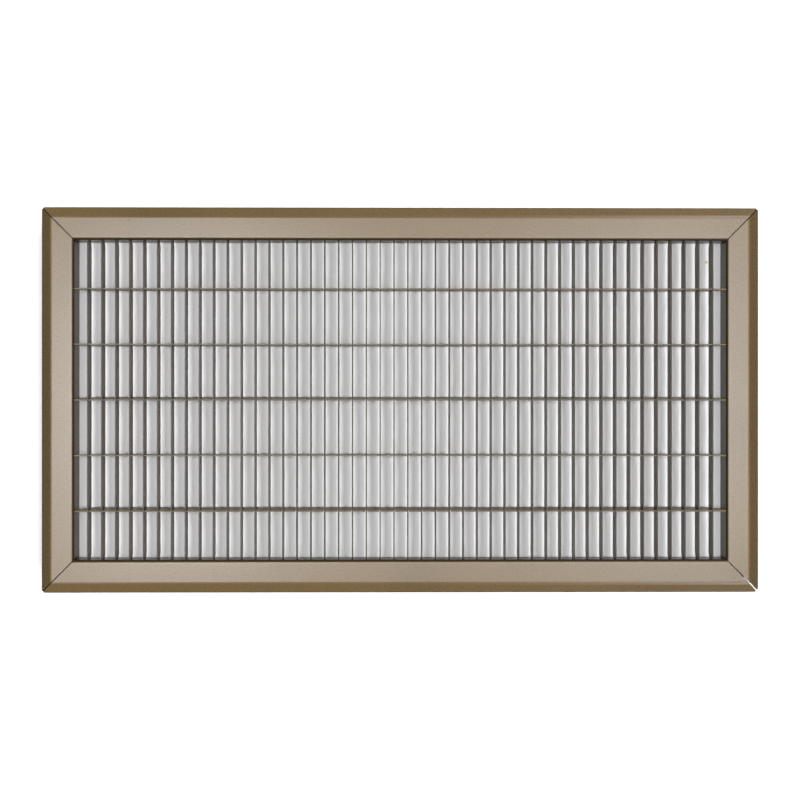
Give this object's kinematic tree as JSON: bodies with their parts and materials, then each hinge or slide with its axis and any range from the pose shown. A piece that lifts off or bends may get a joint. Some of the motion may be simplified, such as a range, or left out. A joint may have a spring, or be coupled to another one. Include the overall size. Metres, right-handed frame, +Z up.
{
  "type": "floor return air grille",
  "caption": "Rectangular steel floor return air grille: mitred flange frame that drops into a duct opening, filled with upright fins locked into notched tie bars.",
  "frame": {"origin": "under the centre of the grille, on the bottom edges of its box", "axes": "+X along the length, to the right of the picture; +Y across the fins' ends to the picture's upper side, called the rear; +Z up, out of the face"},
  "size_m": [0.657, 0.3528, 0.0254],
  "materials": {
    "frame_enamel": "tan baked enamel, satin, with a warm sheen",
    "fin_enamel": "tan baked enamel, thinner on the cut edges",
    "tie_bar_enamel": "tan baked enamel, thinner on the cut edges",
    "gusset_steel": "tan enamel over plain steel plate"
  },
  "bodies": {
    "root": {"rail_front": "frame_enamel", "rail_rear": "frame_enamel", "rail_left": "frame_enamel", "rail_right": "frame_enamel", "fin_01": "fin_enamel", "fin_02": "fin_enamel", "fin_03": "fin_enamel", "fin_04": "fin_enamel", "fin_05": "fin_enamel", "fin_06": "fin_enamel", "fin_07": "fin_enamel", "fin_08": "fin_enamel", "fin_09": "fin_enamel", "fin_10": "fin_enamel", "fin_11": "fin_enamel", "fin_12": "fin_enamel", "fin_13": "fin_enamel", "fin_14": "fin_enamel", "fin_15": "fin_enamel", "fin_16": "fin_enamel", "fin_17": "fin_enamel", "fin_18": "fin_enamel", "fin_19": "fin_enamel", "fin_20": "fin_enamel", "fin_21": "fin_enamel", "fin_22": "fin_enamel", "fin_23": "fin_enamel", "fin_24": "fin_enamel", "fin_25": "fin_enamel", "fin_26": "fin_enamel", "fin_27": "fin_enamel", "fin_28": "fin_enamel", "fin_29": "fin_enamel", "fin_30": "fin_enamel", "fin_31": "fin_enamel", "fin_32": "fin_enamel", "fin_33": "fin_enamel", "fin_34": "fin_enamel", "fin_35": "fin_enamel", "fin_36": "fin_enamel", "fin_37": "fin_enamel", "fin_38": "fin_enamel", "fin_39": "fin_enamel", "fin_40": "fin_enamel", "fin_41": "fin_enamel", "fin_42": "fin_enamel", "fin_43": "fin_enamel", "fin_44": "fin_enamel", "fin_45": "fin_enamel", "fin_46": "fin_enamel", "tie_bar_1": "tie_bar_enamel", "tie_bar_2": "tie_bar_enamel", "tie_bar_3": "tie_bar_enamel", "tie_bar_4": "tie_bar_enamel", "tie_bar_5": "tie_bar_enamel", "corner_gusset_front_left": "gusset_steel", "corner_gusset_front_right": "gusset_steel", "corner_gusset_rear_left": "gusset_steel", "corner_gusset_rear_right": "gusset_steel"}
  },
  "joints": []
}
